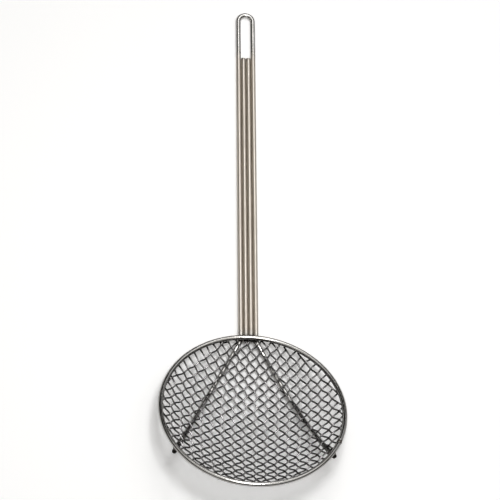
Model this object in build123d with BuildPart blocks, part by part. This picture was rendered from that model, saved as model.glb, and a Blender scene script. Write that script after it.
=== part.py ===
from build123d import *
import os
from math import atan2, cos, degrees, hypot, pi, radians, sin, sqrt, tan

# Wire skimmer for a fryer: a dished disc of woven wire mesh, welded under a round wire rim
# and carried on one long wire, which is bent into the hanging loop, the two outer wires of
# the handle and the two cradle arms below the mesh.
# The bowl's own axes have their origin at the middle of the rim, x to the right, y towards
# the handle and z up out of the bowl. The skimmer lies as it rests on a table: on both
# cradle arms and on the tip of its loop. Millimetres and degrees.

# Wire stock, and the air left where two wires lie on each other
frame_wire = 4.5
mesh_wire = 1.6
contact_gap = 0.1

# Rim, a bent ring with a butt weld
rim_outside = 171.5
seam_bearing = 114.0
seam_width = 1.2
seam_crown = 0.2

# Mesh, woven flat and pressed to a dish. A bearing is a wire's direction from the x axis.
# Pitches and shifts are shares of the flat blank's radius, so the wires keep their number.
bowl_depth = 26.0
mesh_end_inset = 2.2
warp_count = 24
warp_pitch_share = 0.0807
warp_shift_share = 0.0182
warp_bearing = -53.0
weft_count = 22
weft_pitch_share = 0.0872
weft_shift_share = -0.018
weft_bearing = 41.3
crimp_radius = 5.0
crimp_reach_share = 0.45
end_leg = 3.0

# Handle, four wires side by side that rise from the rim
handle_length = 345.0
handle_rise = 16.7
handle_wire_gap = 0.2
handle_rim_gap = 0.6
filler_loop_gap = 48.0
filler_overlap = 1.0

# Cradle arms, from the handle to the rim's far sides
cradle_bearing = 122.0
cradle_bend_reach = 5.0
cradle_rim_gap = 1.2
cradle_bow = 3.4
cradle_overhang = 3.5
foot_round = 0.7

# Weld beads between the rim and the wires below it, as a share of the wires' thickness
weld_radius_share = 0.42

# Steps and passes of the solutions below
arm_steps = 200
tilt_passes = 30
crimp_passes = 6

os.makedirs("parts", exist_ok=True)

rim_radius = (rim_outside - frame_wire) / 2
handle_pitch = frame_wire + handle_wire_gap
leg_offset = handle_pitch * 3 / 2
rise = radians(handle_rise)
handle_drop = frame_wire + handle_rim_gap
cradle_drop = frame_wire + cradle_rim_gap
weld_radius = frame_wire * weld_radius_share

# Directions in the bowl's own axes
up = Vector(0, 0, 1)
to_handle = Vector(0, cos(rise), sin(rise))


def around(bearing, radius, height=0):
    """A point at a bearing from the handle, clockwise seen from above."""
    turn = radians(bearing)
    return Vector(radius * sin(turn), radius * cos(turn), height)


# The mesh's wires end in contact with the rim wire's lower inner side, and its middle
# surface is a paraboloid from there down to the bowl's depth.
mesh_edge = rim_radius - mesh_end_inset
edge_drop = sqrt(((frame_wire + mesh_wire) / 2 + contact_gap) ** 2 - mesh_end_inset**2)
crown = bowl_depth - edge_drop


def mesh_height(radius):
    return -edge_drop - crown * (1 - (radius / mesh_edge) ** 2)


def steepness(radius):
    """Length along the mesh's steepest line for each unit of its plan."""
    return hypot(1, 2 * crown * radius / mesh_edge**2)


# The loop wire's course on its right side, from the top of the loop to the foot. Its leg
# turns at a corner below the rim, and its arm is an arc that hangs below the mesh.
handle_root = Vector(0, rim_radius, -handle_drop)
loop_top = handle_root + to_handle * handle_length
leg_top = loop_top - to_handle * leg_offset + Vector(leg_offset, 0, 0)
corner = handle_root + Vector(leg_offset, 0, 0)
arm_end = around(cradle_bearing, rim_radius, -cradle_drop)

chord = arm_end - corner
outward = chord.cross(up).normalized() * -1
below = outward.cross(chord).normalized()
arm_middle = (corner + arm_end) / 2 + outward * cradle_bow
middle_radius = hypot(arm_middle.X, arm_middle.Y)
arm_to_mesh = (frame_wire + mesh_wire) / 2 + contact_gap
cradle_sag = arm_middle.Z - mesh_height(middle_radius) + arm_to_mesh * steepness(middle_radius)
drop = (outward * cradle_bow + below * cradle_sag).normalized()
arm_sag = hypot(cradle_bow, cradle_sag)
arm_turn = 2 * atan2(2 * arm_sag, chord.length)
arm_start_direction = chord.normalized() * cos(arm_turn) + drop * sin(arm_turn)
arm_start = corner + arm_start_direction * cradle_bend_reach
leg_end = corner + to_handle * cradle_bend_reach


def arm_point(share):
    """A point of the arm's arc, which leaves arm_start along arm_start_direction."""
    reach = arm_end - arm_start
    along = reach.dot(arm_start_direction)
    aside = (reach - arm_start_direction * along).normalized()
    half_turn = atan2(reach.dot(aside), along)
    radius = reach.length / (2 * sin(half_turn))
    turn = 2 * half_turn * share
    return arm_start + arm_start_direction * (radius * sin(turn)) + aside * (radius * (1 - cos(turn)))


# The tilt at which an arm and the loop's tip lie equally low
arm_points = [arm_point(step / arm_steps) for step in range(arm_steps + 1)]
tilt = 0
for _ in range(tilt_passes):
    lowest = min(arm_points, key=lambda p: p.Z * cos(tilt) - p.Y * sin(tilt))
    tilt = atan2(loop_top.Z - lowest.Z, loop_top.Y - lowest.Y)

far_y = -rim_radius * cos(tilt) - frame_wire / 2
near_y = loop_top.Y * cos(tilt) + loop_top.Z * sin(tilt) + frame_wire / 2
floor_z = loop_top.Z * cos(tilt) - loop_top.Y * sin(tilt) - frame_wire / 2
bowl_plane = Plane(
    origin=(0, -(far_y + near_y) / 2, -floor_z), x_dir=(1, 0, 0), z_dir=(0, sin(tilt), cos(tilt))
)
bowl_axis = Axis(bowl_plane.origin, bowl_plane.z_dir)
print("tilt", round(degrees(tilt), 3), "bowl centre", bowl_plane.origin)


def place(point):
    """A point in the bowl's own axes, as it lies on the table."""
    return bowl_plane.from_local_coords(point)


def swung(direction):
    """A direction in the bowl's own axes, as it lies on the table."""
    return place(direction) - place(Vector(0, 0, 0))


def finish(piece, name):
    """Name a finished piece and write it."""
    piece.label = name
    export_step(piece, f"parts/{name}.step")


# Rim ring, open where its ends are welded together
def rim_section(bearing):
    return Plane(
        origin=place(around(bearing, rim_radius)),
        x_dir=swung(around(bearing, 1)),
        z_dir=swung(around(bearing - 90, 1)),
    )


seam_angle = degrees(seam_width / rim_radius)

with BuildPart() as rim_ring:
    with BuildSketch(rim_section(seam_bearing - seam_angle / 2)):
        Circle(frame_wire / 2)
    revolve(axis=bowl_axis, revolution_arc=360 - seam_angle)
finish(rim_ring.part, "rim_ring")

with BuildPart() as rim_seam_weld:
    with BuildSketch(rim_section(seam_bearing + seam_angle / 2)):
        Circle(frame_wire / 2 + seam_crown)
    revolve(axis=bowl_axis, revolution_arc=seam_angle)
finish(rim_seam_weld.part, "rim_seam_weld")

# Loop wire: one length of wire from foot to foot
with BuildPart() as handle_loop_wire:
    with BuildLine() as loop_course:
        crest = TangentArc(place(loop_top), place(leg_top), tangent=(1, 0, 0))
        leg = Line(place(leg_top), place(leg_end))
        bend = TangentArc(place(leg_end), place(arm_start), tangent=leg % 1)
        arm = TangentArc(place(arm_start), place(arm_end), tangent=bend % 1)
        foot = Line(arm @ 1, arm @ 1 + (arm % 1) * cradle_overhang)
        mirror(about=Plane.YZ)
    course = loop_course.wire()
    with BuildSketch(Plane(origin=course @ 0, z_dir=course % 0)):
        Circle(frame_wire / 2)
    sweep(path=course)
    foot_edges = handle_loop_wire.faces().filter_by(GeomType.PLANE).edges()
    fillet(foot_edges, radius=foot_round)
finish(handle_loop_wire.part, "handle_loop_wire")

# Two filler wires between the legs of the loop wire
filler_start = handle_root - to_handle * filler_overlap
filler_length = handle_length - filler_loop_gap + filler_overlap
handle_fillers = []
for side, name in ((-1, "handle_filler_left"), (1, "handle_filler_right")):
    start = filler_start + Vector(side * handle_pitch / 2, 0, 0)
    with BuildPart() as filler:
        with BuildSketch(Plane(origin=place(start), z_dir=swung(to_handle))):
            Circle(frame_wire / 2)
        extrude(amount=filler_length)
        fillet(filler.faces().filter_by(GeomType.PLANE).edges(), radius=foot_round)
    finish(filler.part, name)
    handle_fillers.append(filler.part)

# Mesh. The blank is flat and round, and pressing it to a dish draws its wires in.
crimp_height = (mesh_wire + contact_gap) / 2
draw_in = 2 / 3 * (crown / mesh_edge) ** 2
blank_radius = mesh_edge * (1 + draw_in)


def plan_offsets(count, pitch_share, shift_share):
    """Each wire's distance from the middle in plan, from its place in the flat blank."""
    middle = (count - 1) / 2
    flat = [((number - middle) * pitch_share + shift_share) * blank_radius for number in range(count)]
    return [distance / (1 + draw_in * (distance / mesh_edge) ** 2) for distance in flat]


families = {
    "mesh_warp": (
        radians(warp_bearing),
        plan_offsets(warp_count, warp_pitch_share, warp_shift_share),
    ),
    "mesh_weft": (
        radians(weft_bearing),
        plan_offsets(weft_count, weft_pitch_share, weft_shift_share),
    ),
}


def half_length(offset):
    return sqrt(mesh_edge**2 - offset**2)


def crossings(family, other, number):
    """Each crossing of a wire: its place along the wire, its radius, and whether it's woven.

    A crossing whose either wire ends within an end leg of it isn't woven.
    """
    bearing, offsets = families[family]
    other_bearing, other_offsets = families[other]
    turn = other_bearing - bearing
    offset = offsets[number]
    found = []
    for other_number, other_offset in enumerate(other_offsets):
        along = (offset * cos(turn) - other_offset) / sin(turn)
        other_along = (offset - other_offset * cos(turn)) / sin(turn)
        radius = hypot(offset, along)
        if radius > mesh_edge + 2 * mesh_wire:
            continue
        room = half_length(offset) - abs(along)
        other_room = half_length(other_offset) - abs(other_along)
        woven = min(room, other_room) > end_leg
        found.append((along, radius, woven, (number + other_number) % 2))
    return sorted(found)


def wire_corners(family, other, number):
    """Corners of a crimped wire's course in its upright plane, and the bend at each."""
    offset = families[family][1][number]
    low = -half_length(offset)
    high = half_length(offset)
    woven = []
    for along, radius, is_woven, odd in crossings(family, other, number):
        if is_woven:
            over = 1 if (odd == 1) == (family == "mesh_warp") else -1
            woven.append((along, radius, over))
        elif family == "mesh_weft":
            clear = (mesh_wire + contact_gap) * steepness(radius)
            if along < 0:
                low = max(low, along + clear)
            else:
                high = min(high, along - clear)
    woven = [spot for spot in woven if low < spot[0] < high]
    heights = [mesh_height(r) + over * crimp_height * steepness(r) ** 2 for _, r, over in woven]
    ends = [(end, mesh_height(hypot(offset, end))) for end in (low, high)]
    lifts = [0] * len(woven)
    radii = []
    # A bend runs inside its corner, so the corners stand further out than the wire does
    for _ in range(crimp_passes):
        middle = [
            (spot[0], height + spot[2] * lift) for spot, height, lift in zip(woven, heights, lifts)
        ]
        corners = [ends[0]] + middle + [ends[1]]
        radii, lifts = [], []
        for before, here, after in zip(corners, corners[1:], corners[2:]):
            run_in = hypot(here[0] - before[0], here[1] - before[1])
            run_out = hypot(after[0] - here[0], after[1] - here[1])
            slope_in = atan2(here[1] - before[1], here[0] - before[0])
            slope_out = atan2(after[1] - here[1], after[0] - here[0])
            half_turn = abs(slope_in - slope_out) / 2
            reach = crimp_reach_share * min(run_in, run_out)
            radii.append(min(crimp_radius, reach / tan(half_turn)))
            lifts.append(radii[-1] * (1 / cos(half_turn) - 1) / cos((slope_in + slope_out) / 2))
    return corners, radii


def upright_plane(bearing, offset):
    """The plane that holds a mesh wire, with its x axis along the wire and y upwards."""
    along = Vector(cos(bearing), sin(bearing), 0)
    aside = Vector(-sin(bearing), cos(bearing), 0)
    return Plane(origin=place(aside * offset), x_dir=swung(along), z_dir=swung(aside) * -1)


for family, other in (("mesh_warp", "mesh_weft"), ("mesh_weft", "mesh_warp")):
    bearing, offsets = families[family]
    for number in range(len(offsets)):
        corners, radii = wire_corners(family, other, number)
        with BuildPart() as mesh_strand:
            with BuildLine(upright_plane(bearing, offsets[number])) as strand_course:
                FilletPolyline(*corners, radius=radii)
            course = strand_course.wire()
            with BuildSketch(Plane(origin=course @ 0, z_dir=course % 0)):
                Circle(mesh_wire / 2)
            sweep(path=course)
        finish(mesh_strand.part, f"{family}_{number + 1:02d}")


def weld(name, bearing, drop, wires):
    """A bead halfway between the rim wire and a wire that crosses below it."""
    with BuildPart() as bead:
        with Locations(place(around(bearing, rim_radius, -drop / 2))):
            with Locations(Rotation(-degrees(tilt), 0, 0)):
                Cylinder(weld_radius, drop)
        for wire in [rim_ring.part] + wires:
            add(wire, mode=Mode.SUBTRACT)
    finish(bead.part, name)


# Weld beads that join the wires below the rim to it
weld("cradle_weld_left", -cradle_bearing, cradle_drop, [handle_loop_wire.part])
weld("cradle_weld_right", cradle_bearing, cradle_drop, [handle_loop_wire.part])
handle_wires = [handle_loop_wire.part] + handle_fillers
for side, side_name in ((-1, "left"), (1, "right")):
    for offset, row_name in ((leg_offset, "outer"), (handle_pitch / 2, "inner")):
        bearing = side * degrees(offset / rim_radius)
        weld(f"handle_weld_{row_name}_{side_name}", bearing, handle_drop, handle_wires)
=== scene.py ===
from math import atan2, cos, exp, hypot, pi, radians, sin, sqrt, tan

import bmesh
import bpy
from mathutils import Matrix, Vector, noise


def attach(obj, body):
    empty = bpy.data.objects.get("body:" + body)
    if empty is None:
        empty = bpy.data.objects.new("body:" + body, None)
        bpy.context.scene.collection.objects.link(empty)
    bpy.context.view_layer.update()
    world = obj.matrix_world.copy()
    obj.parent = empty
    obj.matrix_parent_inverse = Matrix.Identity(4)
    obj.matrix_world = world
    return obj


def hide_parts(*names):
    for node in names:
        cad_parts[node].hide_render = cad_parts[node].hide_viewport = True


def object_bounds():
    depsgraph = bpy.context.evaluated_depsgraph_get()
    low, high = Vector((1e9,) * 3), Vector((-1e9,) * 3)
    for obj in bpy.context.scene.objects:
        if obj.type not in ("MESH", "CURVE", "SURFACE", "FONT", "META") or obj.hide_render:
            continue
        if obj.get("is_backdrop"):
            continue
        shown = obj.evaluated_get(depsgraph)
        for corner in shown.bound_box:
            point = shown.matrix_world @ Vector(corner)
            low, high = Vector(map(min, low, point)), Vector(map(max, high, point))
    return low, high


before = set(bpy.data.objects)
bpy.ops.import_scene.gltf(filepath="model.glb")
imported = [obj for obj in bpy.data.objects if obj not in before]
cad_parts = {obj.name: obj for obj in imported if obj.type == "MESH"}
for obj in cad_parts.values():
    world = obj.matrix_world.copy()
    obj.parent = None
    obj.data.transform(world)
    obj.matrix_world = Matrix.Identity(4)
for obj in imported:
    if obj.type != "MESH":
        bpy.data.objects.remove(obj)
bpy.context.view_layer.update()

# The rim is one steel wire, 4.5 mm thick, rolled into a ring and dipped in bright nickel.
# The skimmer lies as it does on a table, on its cradle arms and the tip of its loop, so the
# ring's own level, in which everything here is made, is tipped and lifted onto the table.
frame_wire = 0.0045
rim_radius = 0.0835
rim_steps = 264
frame_wire_sides = 24
seam_bearing = radians(114.0)
seam_width = 0.0012
seam_half = seam_width / 2 / rim_radius
tipped = radians(17.285)
rim_centre = (0, -0.171733, 0.035455)
on_table = Matrix.Translation(rim_centre) @ Matrix.Rotation(-tipped, 4, "X")


class DrawnWire:
    """A round wire, drawn out of its first ring of vertices one length at a time.

    Every vertex keeps where it lies across the wire and how far along it, for the die lines.
    """

    def __init__(self, thickness, sides, start, heading):
        self.mesh = bmesh.new()
        self.across = self.mesh.verts.layers.float_vector.new("across_wire")
        self.along = self.mesh.verts.layers.float.new("along_wire")
        self.at = Vector(start)
        self.heading = Vector(heading).normalized()
        self.run = 0.0
        facing = self.heading.to_track_quat("Z", "Y").to_matrix().to_4x4()
        section = bmesh.ops.create_circle(
            self.mesh, radius=thickness / 2, segments=sides, cap_ends=True
        )["verts"]
        for corner in section:
            corner[self.across] = corner.co
        self.ring = list({edge for corner in section for edge in corner.link_edges})
        bmesh.ops.transform(
            self.mesh, matrix=Matrix.Translation(self.at) @ facing, verts=section
        )

    def carry(self, matrix, length):
        """Draws the wire on by one ring, moved from the last one."""
        grown = bmesh.ops.extrude_edge_only(self.mesh, edges=self.ring)["geom"]
        self.ring = [e for e in grown if isinstance(e, bmesh.types.BMEdge) and e.is_boundary]
        corners = [v for v in grown if isinstance(v, bmesh.types.BMVert)]
        bmesh.ops.transform(self.mesh, matrix=matrix, verts=corners)
        self.run += length
        for corner in corners:
            corner[self.along] = self.run
        self.at = matrix @ self.at
        self.heading = (matrix.to_3x3() @ self.heading).normalized()

    def straight(self, length, steps=1):
        """Goes straight on by a length."""
        for _ in range(steps):
            self.carry(Matrix.Translation(self.heading * length / steps), length / steps)

    def bend(self, axis, angle, radius, steps):
        """Turns round an axis through an angle."""
        step = Matrix.Rotation(angle / steps, 4, axis)
        inside = axis.cross(self.heading).normalized() * (radius if angle > 0 else -radius)
        centre = Matrix.Translation(self.at + inside)
        for _ in range(steps):
            self.carry(centre @ step @ centre.inverted(), radius * abs(angle) / steps)

    def reach(self, point, steps):
        """Bends on in one arc that ends at a point."""
        way = point - self.at
        half_turn = self.heading.angle(way)
        axis = self.heading.cross(way).normalized()
        self.bend(axis, 2 * half_turn, way.length / (2 * sin(half_turn)), steps)

    def swell(self, length, size):
        """Goes on by a length while the ring grows or shrinks to a share of its size."""
        ahead = Matrix.Translation(self.at + self.heading * length)
        self.carry(ahead @ Matrix.Scale(size, 4) @ Matrix.Translation(-self.at), length)

    def cut(self):
        """Closes the wire's end."""
        bmesh.ops.holes_fill(self.mesh, edges=self.ring)


def around(bearing, radius, height=0.0):
    """A point at a bearing from the handle, clockwise seen from above."""
    return Vector((radius * sin(bearing), radius * cos(bearing), height))


seam_heat = 0.003
burn_and_shade_spots = [(around(seam_bearing, rim_radius), seam_heat)]
handle_pitch = 0.0047
handle_wires = [(place - 1.5) * handle_pitch for place in range(4)]
handle_heat, handle_heat_drop = 0.004, 0.0025
for wire in handle_wires:
    burn_and_shade_spots.append((around(wire / rim_radius, rim_radius, -handle_heat_drop), handle_heat))
cradle_bearing = radians(122.0)
# Round each cradle weld, and in a row of spots from the foot up the arm, the plating is darkened:
# weld browning at the weld, painted shade on the arm's far end and its foot.
cradle_burn_and_shade_reach, cradle_burn_and_shade_drop, cradle_shade_step = 0.0056, 0.008, 0.004
up_the_arm = Vector((-0.31, 0.84, -0.45))
for step in range(-1, 7):
    spot = around(cradle_bearing, rim_radius, -cradle_burn_and_shade_drop)
    spot += step * cradle_shade_step * up_the_arm
    burn_and_shade_spots += [(spot, cradle_burn_and_shade_reach), (spot.reflect(Vector((1, 0, 0))), cradle_burn_and_shade_reach)]
# Along the rim's lower inner side, where the mesh ends meet it, the plating is darkened in a band:
# partly weld browning at the mesh ends, partly painted shade under the rim.
mesh_seat_inset = 0.0019
mesh_seat_burn_and_shade_reach = 0.0022
mesh_seat_burn_and_shade_depth = 0.8


def burn_and_shade_of(point):
    """How dark the plating is made at a point, from 0 to 1: weld browning at the welds, and painted
    shade under the rim's inner side and on the cradle arms' ends.
    """
    inward = rim_radius - mesh_seat_inset - hypot(point.x, point.y)
    mesh_seat = hypot(inward, point.z + mesh_seat_inset)
    strongest_burn_and_shade = mesh_seat_burn_and_shade_depth * exp(-((mesh_seat / mesh_seat_burn_and_shade_reach) ** 2))
    for spot, reach in burn_and_shade_spots:
        strongest_burn_and_shade = max(strongest_burn_and_shade, exp(-(((point - spot).length / reach) ** 2)))
    return strongest_burn_and_shade


def lay_down(made, name, material, slot, *nodes):
    """Puts a finished mesh on the table as a piece that stands for CAD nodes."""
    # Each vertex carries how dark its plating is made: weld browning, and painted shade under the
    # rim and on the cradle arms' ends.
    burn_and_shade = made.verts.layers.float.new("weld_burn_and_shade")
    for corner in made.verts:
        corner[burn_and_shade] = burn_and_shade_of(corner.co)
    bmesh.ops.transform(made, matrix=on_table, verts=made.verts)
    bmesh.ops.recalc_face_normals(made, faces=made.faces)
    for face in made.faces:
        face.smooth = len(face.verts) <= 4
    shape = bpy.data.meshes.new(name)
    made.to_mesh(shape)
    made.free()
    shape.materials.append(material)
    piece = bpy.data.objects.new(name, shape)
    bpy.context.scene.collection.objects.link(piece)
    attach(piece, "root")
    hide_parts(*nodes)


class Level:
    """A number socket that Python operators add Math nodes to."""

    def __init__(self, finish, socket):
        self.finish = finish
        self.socket = socket

    def _math(self, kind, first, second):
        made = self.finish.node("ShaderNodeMath", {0: first, 1: second}, operation=kind)
        return Level(self.finish, made.outputs[0])

    def __add__(self, other):
        return self._math("ADD", self, other)

    def __radd__(self, other):
        return self._math("ADD", other, self)

    def __sub__(self, other):
        return self._math("SUBTRACT", self, other)

    def __rsub__(self, other):
        return self._math("SUBTRACT", other, self)

    def __mul__(self, other):
        return self._math("MULTIPLY", self, other)

    def __rmul__(self, other):
        return self._math("MULTIPLY", other, self)


class Finish:
    """The nodes of a material or of the studio, built one at a time onto its shader."""

    def __init__(self, owner, shader="Principled BSDF"):
        owner.use_nodes = True
        self.owner = owner
        self.tree = owner.node_tree
        self.shader = self.tree.nodes[shader]

    def node(self, kind, inputs=None, stops=None, **settings):
        """Adds a node: its settings and a ramp's stops first, then its sockets' values or links."""
        made = self.tree.nodes.new(kind)
        for setting, value in settings.items():
            setattr(made, setting, value)
        if stops:
            ramp = made.color_ramp.elements
            while len(ramp) < len(stops):
                ramp.new(0.5)
            for stop, (position, colour) in zip(ramp, stops):
                stop.position = position
                stop.color = (*colour, 1)
        for key, value in (inputs or {}).items():
            self.feed(made.inputs[key], value)
        return made

    def feed(self, socket, value):
        """Links a socket, or sets it to a number or a colour."""
        value = getattr(value, "socket", value)
        if isinstance(value, bpy.types.NodeSocket):
            self.tree.links.new(value, socket)
        elif socket.type == "RGBA":
            socket.default_value = (*value[:3], 1)
        else:
            socket.default_value = value

    def set(self, **inputs):
        """Feeds the shader's own sockets."""
        for name, value in inputs.items():
            self.feed(self.shader.inputs[name.replace("_", " ")], value)

    def attribute(self, name, output):
        """What every vertex carries under a name."""
        return self.node("ShaderNodeAttribute", attribute_name=name).outputs[output]

    def cloud(self, where, scale, detail):
        """Noise from 0 to 1, with so many blots to a metre."""
        made = self.node("ShaderNodeTexNoise", {"Vector": where, "Scale": scale, "Detail": detail})
        return Level(self, made.outputs["Fac"])

    def between(self, level, low, high):
        """A level from 0 at low to 1 at high."""
        made = self.node(
            "ShaderNodeMapRange", {"Value": level, "From Min": low, "From Max": high}
        )
        return Level(self, made.outputs["Result"])

    def tint(self, share, under, over):
        """A colour laid over another by a share."""
        made = self.node("ShaderNodeMix", {0: share, 6: under, 7: over}, data_type="RGBA")
        return made.outputs[2]


die_line_scale, cloud_scale, stain_scale, nodule_scale = 9000.0, 160.0, 45.0, 2600.0
stain_range, nodule_range, burn_and_shade_range = (0.5, 0.78), (0.62, 0.8), (0.15, 0.75)
smoothest, cloud_dulling, stain_dulling, burn_and_shade_dulling = 0.07, 0.16, 0.1, 0.2
nodule_height, cloud_height = 0.8, 0.6
die_line_stretch = 0.02
burn_and_shade_patchiness = 0.5
plating_relief = 0.00004
# The brown of weld-burnt plating, also used as painted shade under the rim and on the cradle arms'
# ends.
burnt_and_shade_brown = (0.045, 0.04, 0.036)
grip_start, grip_stop = (-0.095, -0.08), (0.215, 0.2)
grip_warmth, grip_dulling = 0.85, 0.2


def nickel(name, bare, stained, die_lines, grip=None):
    """Bright nickel over drawn wire: cloudy, lined along the wire, browned where it is welded, and
    darkened with painted shade under the rim and on the cradle arms' ends.
    """
    finish = Finish(bpy.data.materials.new(name))
    place = finish.node("ShaderNodeTexCoord").outputs["Object"]
    across = finish.attribute("across_wire", "Vector")
    along = Level(finish, finish.attribute("along_wire", "Fac"))
    burn_and_shade = Level(finish, finish.attribute("weld_burn_and_shade", "Fac"))
    slow = finish.node("ShaderNodeCombineXYZ", {"Z": die_line_stretch * along}).outputs[0]
    drawn = finish.node("ShaderNodeVectorMath", {0: across, 1: slow}, operation="ADD")
    lines = finish.cloud(drawn.outputs[0], die_line_scale, detail=3.0)
    clouds = finish.cloud(place, cloud_scale, detail=4.0)
    stains = finish.between(finish.cloud(place, stain_scale, detail=5.0), *stain_range)
    nodules = finish.between(finish.cloud(place, nodule_scale, detail=1.0), *nodule_range)
    # The darkened share: weld browning at the welds, and painted shade under the rim and on the
    # cradle arms' ends.
    burnt_and_shaded = finish.between(burn_and_shade + burn_and_shade_patchiness * (clouds - 0.5), *burn_and_shade_range)
    plating = finish.tint(stains, bare, stained)
    rough = smoothest + cloud_dulling * clouds + stain_dulling * stains + burn_and_shade_dulling * burnt_and_shaded
    if grip:
        handle_place = finish.node("ShaderNodeSeparateXYZ", {0: place}).outputs["Y"]
        past_bowl = finish.between(handle_place, *grip_start)
        before_loop = finish.between(handle_place, *grip_stop)
        plating = finish.tint(grip_warmth * past_bowl * before_loop, plating, grip)
        rough = rough + grip_dulling * past_bowl * before_loop
    finish.set(
        Base_Color=finish.tint(burnt_and_shaded, plating, burnt_and_shade_brown),
        Metallic=1.0,
        Specular_Tint=(0.0, 0.0, 0.0),
        Roughness=rough,
    )
    height = lines + nodule_height * nodules + cloud_height * clouds
    relief = finish.node(
        "ShaderNodeBump", {"Strength": die_lines, "Distance": plating_relief, "Height": height}
    )
    finish.set(Normal=relief.outputs[0])
    return finish.owner


frame_bare, frame_stained = (0.54, 0.53, 0.515), (0.38, 0.365, 0.34)
# The handle between bowl and loop is tinted lighter and warmer than the rest of the frame.
handle_middle_tint = (0.71, 0.645, 0.565)
frame_nickel = nickel("frame_nickel", frame_bare, frame_stained, die_lines=0.35, grip=handle_middle_tint)

up = Vector((0, 0, 1))
seam_start = seam_bearing + seam_half
rim = DrawnWire(
    frame_wire, frame_wire_sides, around(seam_start, rim_radius), around(seam_start + pi / 2, 1)
)
rim.bend(up, -2 * (pi - seam_half), rim_radius, rim_steps)
rim.cut()
lay_down(rim.mesh, "rim", frame_nickel, "frame_wire", "rim_ring")

# The rim's two ends are butt-welded on the bowl's right side. The joint is left as it cooled:
# a low collar of melted wire round the ring, uneven to the touch and dull under its plating.
weld_bare, weld_stained = (0.4, 0.37, 0.33), (0.2, 0.17, 0.14)
weld_metal = nickel("weld_nickel", weld_bare, weld_stained, die_lines=0.8)
collar_half = 2.2 * seam_half
collar_sizes = (1.05, 1.035, 1.0, 1 / 1.02, 1 / 1.06)
collar_step = 2 * collar_half * rim_radius / len(collar_sizes)
collar_lumps, collar_lump_share = 900, 0.04
collar_start = seam_bearing - collar_half
collar = DrawnWire(
    frame_wire, frame_wire_sides, around(collar_start, rim_radius), around(collar_start + pi / 2, 1)
)
for size in collar_sizes:
    collar.swell(collar_step, size)
collar.cut()
for corner in collar.mesh.verts:
    middle = around(atan2(corner.co.x, corner.co.y), rim_radius)
    swollen = 1 + collar_lump_share * noise.noise(corner.co * collar_lumps)
    corner.co = middle + (corner.co - middle) * swollen
lay_down(collar.mesh, "rim_seam", weld_metal, "weld", "rim_seam_weld")

# The handle's outer wires, the hanging loop and the two cradle arms are one wire. It turns
# under the rim and runs on below the mesh, out past the rim to a blunt foot on each side.
leg_offset = handle_wires[3]
handle_drop = 0.0051
handle_rise = radians(16.7)
handle_length = 0.345
cradle_drop = 0.0057
cradle_end = 0.0035
mirror_join = 1e-6
to_handle = Vector((0, cos(handle_rise), sin(handle_rise)))
handle_root = Vector((0, rim_radius, -handle_drop))
loop_top = handle_root + handle_length * to_handle
leg_side = Vector((leg_offset, 0, 0))
leg_top = loop_top - leg_offset * to_handle + leg_side
corner_below_rim = handle_root + leg_side
arm_end = around(cradle_bearing, rim_radius, -cradle_drop)
arm_chord = arm_end - corner_below_rim
arm_outward = -arm_chord.cross(up).normalized()
arm_down = arm_outward.cross(arm_chord).normalized()
bow_out, bow_down = 0.0034, 0.01599
arm_sag = bow_out * arm_outward + bow_down * arm_down
arm_turn = 2 * atan2(2 * arm_sag.length, arm_chord.length)
arm_heading = arm_chord.normalized() * cos(arm_turn) + arm_sag.normalized() * sin(arm_turn)
bend_reach = 0.005
foot_round = 0.0007
blunt_steps = 4
crest_steps, leg_steps, corner_steps, arm_steps = 14, 90, 10, 44


def blunt(wire, opening):
    """Rounds the edge of a cut end, from its flat face up to full thickness or back."""
    turns = [pi / 2 * step / blunt_steps for step in range(blunt_steps + 1)]
    sizes = [frame_wire / 2 - foot_round + foot_round * cos(turn) for turn in turns]
    ahead = [foot_round * sin(turn) for turn in turns]
    if opening:
        sizes.reverse()
        ahead = [foot_round - place for place in reversed(ahead)]
    for step in range(blunt_steps):
        wire.swell(ahead[step + 1] - ahead[step], sizes[step + 1] / sizes[step])


loop = DrawnWire(frame_wire, frame_wire_sides, loop_top, (1, 0, 0))
top_cap = loop.mesh.faces[:]
loop.reach(leg_top, crest_steps)
loop.straight((leg_top - corner_below_rim).length - bend_reach, leg_steps)
loop.reach(corner_below_rim + bend_reach * arm_heading, corner_steps)
loop.reach(arm_end, arm_steps)
loop.straight(cradle_end - foot_round)
blunt(loop, opening=False)
loop.cut()
bmesh.ops.delete(loop.mesh, geom=top_cap, context="FACES_ONLY")
half_loop = loop.mesh.verts[:] + loop.mesh.edges[:] + loop.mesh.faces[:]
bmesh.ops.mirror(loop.mesh, geom=half_loop, merge_dist=mirror_join)
lay_down(loop.mesh, "loop_wire", frame_nickel, "frame_wire", "handle_loop_wire")

# Two straight filler wires of the same stock lie between the legs and end short of the loop,
# so the handle is a flat grip of four wires. They are held by their welds at the rim.
filler_length = 0.298
filler_start = -0.001
filler_steps = 80
filler_end_face = frame_wire - 2 * foot_round
for offset, name in ((handle_wires[1], "left"), (handle_wires[2], "right")):
    start = handle_root + filler_start * to_handle + Vector((offset, 0, 0))
    filler = DrawnWire(filler_end_face, frame_wire_sides, start, to_handle)
    blunt(filler, opening=True)
    filler.straight(filler_length - 2 * foot_round, filler_steps)
    blunt(filler, opening=False)
    filler.cut()
    node = f"handle_filler_{name}"
    lay_down(filler.mesh, f"filler_{name}", frame_nickel, "frame_wire", node)

# The mesh is woven flat from 1.6 mm crimped wire, over and under by turns, cut round and
# pressed to a shallow dish. Its wire ends meet the rim's lower inner side.
mesh_wire = 0.0016
mesh_wire_sides = 12
mesh_bend_steps = 4
edge_inset = 0.0022
mesh_edge = rim_radius - edge_inset
edge_drop = 0.002254
bowl_depth = 0.026
crown = bowl_depth - edge_drop
crimp_height = 0.00085
end_leg = 0.003
shortest_leg = 0.0022
widest_bend = 0.005
bend_share = 0.45
crimp_passes = 6
draw_in = 2 / 3 * (crown / mesh_edge) ** 2


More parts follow.
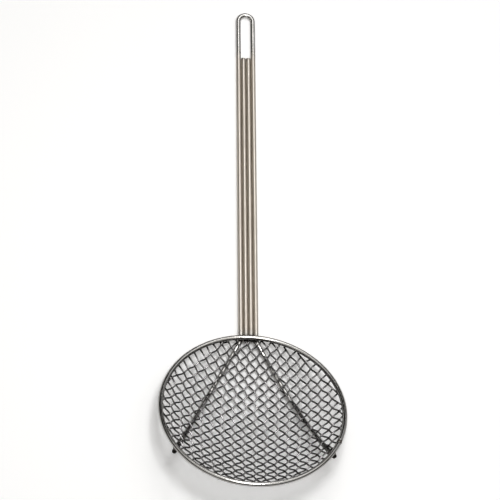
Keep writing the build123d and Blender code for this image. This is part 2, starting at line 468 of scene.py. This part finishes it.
def mesh_height(radius):
    """How high the dish lies at a radius, over the rim's level."""
    return -edge_drop - crown * (1 - (radius / mesh_edge) ** 2)


def steepness(radius):
    """How much longer than in plan a step outward is on the dish."""
    return hypot(1, 2 * crown * radius / mesh_edge**2)


def drawn_in(count, pitch_share, shift_share):
    """Each wire's distance from the bowl's middle in plan, drawn in as the dish is pressed."""
    blank = mesh_edge * (1 + draw_in)
    flat = [
        ((number - (count - 1) / 2) * pitch_share + shift_share) * blank for number in range(count)
    ]
    return [far / (1 + draw_in * (far / mesh_edge) ** 2) for far in flat]


def half_length(offset):
    """Half a mesh wire's length in plan."""
    return sqrt(mesh_edge**2 - offset**2)


def crimps(offset, number, turn, crossed_offsets, is_warp):
    """Where a mesh wire ends, and its crimps: place along it, height, and over or under.

    Beside the rim the warp runs out straight. The weft passes over it there, or ends on it.
    """
    low, high = -half_length(offset), half_length(offset)
    woven = []
    for crossed, crossed_offset in enumerate(crossed_offsets):
        along = (offset * cos(turn) - crossed_offset) / sin(turn)
        crossed_along = (offset - crossed_offset * cos(turn)) / sin(turn)
        radius = hypot(offset, along)
        if radius > mesh_edge + 2 * mesh_wire:
            continue
        room = half_length(offset) - abs(along)
        if min(room, half_length(crossed_offset) - abs(crossed_along)) > end_leg:
            over = 1 if ((number + crossed) % 2 == 1) == is_warp else -1
            height = mesh_height(radius) + over * crimp_height * steepness(radius) ** 2
            woven.append((along, height, over))
        elif not is_warp and room > shortest_leg:
            height = mesh_height(radius) + 2 * crimp_height * steepness(radius) ** 2
            woven.append((along, height, 1))
        elif not is_warp and along < 0:
            low = max(low, along)
        elif not is_warp:
            high = min(high, along)
    return low, high, sorted(crimp for crimp in woven if low < crimp[0] < high)


def bends(low, high, offset, woven):
    """The corners of a mesh wire's course, raised until its bends reach the crimps' height."""
    ends = [Vector((end, mesh_height(hypot(offset, end)))) for end in (low, high)]
    lifts = [0.0] * len(woven)
    for _ in range(crimp_passes):
        course = [
            Vector((along, height + over * lift))
            for (along, height, over), lift in zip(woven, lifts)
        ]
        course = [ends[0]] + course + [ends[1]]
        lifts, turns = [], []
        for before, here, after in zip(course, course[1:], course[2:]):
            slope_in = atan2(here.y - before.y, here.x - before.x)
            slope_out = atan2(after.y - here.y, after.x - here.x)
            half_turn = abs(slope_out - slope_in) / 2
            reach = bend_share * min((here - before).length, (after - here).length)
            radius = min(widest_bend, reach / tan(half_turn))
            turns.append((slope_out - slope_in, radius, radius * tan(half_turn)))
            lifts.append(radius * (1 / cos(half_turn) - 1) / cos((slope_in + slope_out) / 2))
    return course, turns


rim_weld_reach = frame_wire / 2 + 0.0002
end_step, end_steps = 0.00025, 12


def to_rim(end, way):
    """How much farther a mesh wire's end runs, 3 mm at most, to touch the rim's underside."""
    for step in range(end_steps + 1):
        farther = end_step * step
        point = end + farther * way
        if hypot(hypot(point.x, point.y) - rim_radius, point.z) < rim_weld_reach:
            break
    return farther


mesh_bare, mesh_stained = (0.225, 0.22, 0.22), (0.13, 0.125, 0.125)
mesh_nickel = nickel("mesh_nickel", mesh_bare, mesh_stained, die_lines=0.5)
warp_count, warp_bearing, warp_pitch_share, warp_shift_share = 24, radians(-53), 0.0807, 0.0182
weft_count, weft_bearing, weft_pitch_share, weft_shift_share = 22, radians(41.3), 0.0872, -0.018
warp_offsets = drawn_in(warp_count, warp_pitch_share, warp_shift_share)
weft_offsets = drawn_in(weft_count, weft_pitch_share, weft_shift_share)
for family, bearing, offsets, other_bearing, crossed_offsets in (
    ("warp", warp_bearing, warp_offsets, weft_bearing, weft_offsets),
    ("weft", weft_bearing, weft_offsets, warp_bearing, warp_offsets),
):
    along = Vector((cos(bearing), sin(bearing), 0))
    aside = Vector((-sin(bearing), cos(bearing), 0))
    for number, offset in enumerate(offsets):
        low, high, woven = crimps(
            offset, number, other_bearing - bearing, crossed_offsets, family == "warp"
        )
        course, turns = bends(low, high, offset, woven)
        places = [offset * aside + corner.x * along + corner.y * up for corner in course]
        first = (places[0] - places[1]).normalized()
        last = (places[-1] - places[-2]).normalized()
        lead = to_rim(places[0], first) if low == -half_length(offset) else 0
        tail = to_rim(places[-1], last) if high == half_length(offset) else 0
        strand = DrawnWire(mesh_wire, mesh_wire_sides, places[0] + lead * first, -first)
        used = -lead
        for before, here, (turn, radius, setback) in zip(places, places[1:], turns):
            strand.straight((here - before).length - used - setback)
            strand.bend(-aside, turn, radius, mesh_bend_steps)
            used = setback
        strand.straight((places[-1] - places[-2]).length - used + tail)
        strand.cut()
        name = f"{family}_{number + 1:02d}"
        lay_down(strand.mesh, name, mesh_nickel, "mesh_wire", f"mesh_{name}")

# Weld beads hold the rim to the wires that pass below it: one at each cradle arm, and one at
# each of the four handle wires. They are lumps of melted wire, plated over.
bead_radius = 0.0021
bead_lumps, bead_lump_share, bead_variety = 700, 0.12, 50
bead_flatness = 0.85
for node, bearing, drop in (
    ("cradle_weld_left", -cradle_bearing, cradle_drop),
    ("cradle_weld_right", cradle_bearing, cradle_drop),
    ("handle_weld_outer_left", handle_wires[0] / rim_radius, handle_drop),
    ("handle_weld_inner_left", handle_wires[1] / rim_radius, handle_drop),
    ("handle_weld_inner_right", handle_wires[2] / rim_radius, handle_drop),
    ("handle_weld_outer_right", handle_wires[3] / rim_radius, handle_drop),
):
    bead = bmesh.new()
    bmesh.ops.create_icosphere(bead, subdivisions=4, radius=bead_radius)
    middle = around(bearing, rim_radius, -drop / 2)
    for corner in bead.verts:
        lump = noise.noise(corner.co * bead_lumps + middle * bead_variety)
        corner.co *= 1 + bead_lump_share * lump
        corner.co.z *= bead_flatness
    bmesh.ops.translate(bead, vec=middle, verts=bead.verts)
    lay_down(bead, node.replace("weld", "bead"), weld_metal, "weld", node)

# The table is a plain pale board that reaches past every view. The camera, the metal and
# glass see it white, while it gives the skimmer only a plain soft light from below.
board_half = 6.0
table = bmesh.new()
bmesh.ops.create_grid(table, x_segments=1, y_segments=1, size=board_half)
table_shape = bpy.data.meshes.new("table")
table.to_mesh(table_shape)
table.free()
tabletop = bpy.data.objects.new("table", table_shape)
bpy.context.scene.collection.objects.link(tabletop)
tabletop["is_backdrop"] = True
board_plain, board_white = (0.6, 0.6, 0.6), (1.18, 1.18, 1.18)
board = Finish(bpy.data.materials.new("table_top"))
ray = board.node("ShaderNodeLightPath").outputs
seen = Level(board, ray["Is Camera Ray"]) + ray["Is Glossy Ray"] + ray["Is Transmission Ray"]
plain = board.node("ShaderNodeBsdfDiffuse", {"Color": board_plain}).outputs[0]
white = board.node("ShaderNodeBsdfDiffuse", {"Color": board_white}).outputs[0]
top = board.node("ShaderNodeMixShader", {0: seen, 1: plain, 2: white}).outputs[0]
board.feed(board.tree.nodes["Material Output"].inputs["Surface"], top)
board.tree.nodes.remove(board.shader)
table_shape.materials.append(board.owner)

# The studio is a dim room with a pale ceiling, which the round wires mirror as a light stripe
# between dark ones. Its three soft lamps hang over the bowl, beyond the loop and to the right.
room = Finish(bpy.data.worlds.new("studio"), "Background")
bpy.context.scene.world = room.owner
wall_to_ceiling = ((0.58, (0.008, 0.008, 0.008)), (0.8, (0.72, 0.71, 0.69)))
way = room.node("ShaderNodeTexCoord").outputs["Generated"]
way_up = room.node("ShaderNodeSeparateXYZ", {0: way}).outputs["Z"]
room.set(Color=room.node("ShaderNodeValToRGB", {0: way_up}, stops=wall_to_ceiling).outputs[0])
for name, way, far, wide, power in (
    ("front_lamp", (0.02, -0.15, 1.0), 1.2, (0.3, 0.3), 5.6),
    ("strip_lamp", (0.07, 0.5, 0.88), 1.7, (0.36, 0.85), 3.2),
    ("side_lamp", (0.6, 0.41, 0.69), 1.4, (0.9, 1.2), 1.6),
):
    lamp = bpy.data.lights.new(name, "AREA")
    lamp.shape = "RECTANGLE"
    lamp.size, lamp.size_y = wide
    lamp.energy = power
    lamp_stand = bpy.data.objects.new(name, lamp)
    bpy.context.scene.collection.objects.link(lamp_stand)
    lamp_from = Vector(way).normalized()
    lamp_stand.location = far * lamp_from
    lamp_stand.rotation_euler = lamp_from.to_track_quat("Z", "Y").to_euler()

# The camera stands where the photograph was taken from: over the near end of the bowl, a
# little to its left, through a long lens.
camera = bpy.data.cameras.new("camera")
camera.lens = 184.0
camera.sensor_width = 36.0
tripod = bpy.data.objects.new("camera", camera)
bpy.context.scene.collection.objects.link(tripod)
tripod.location = (-0.257183, -0.979543, 2.178321)
tripod.rotation_euler = (0.421314, -0.115231, -0.008062)
bpy.context.scene.camera = tripod
bpy.context.scene.view_settings.view_transform = "Standard"

low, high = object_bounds()
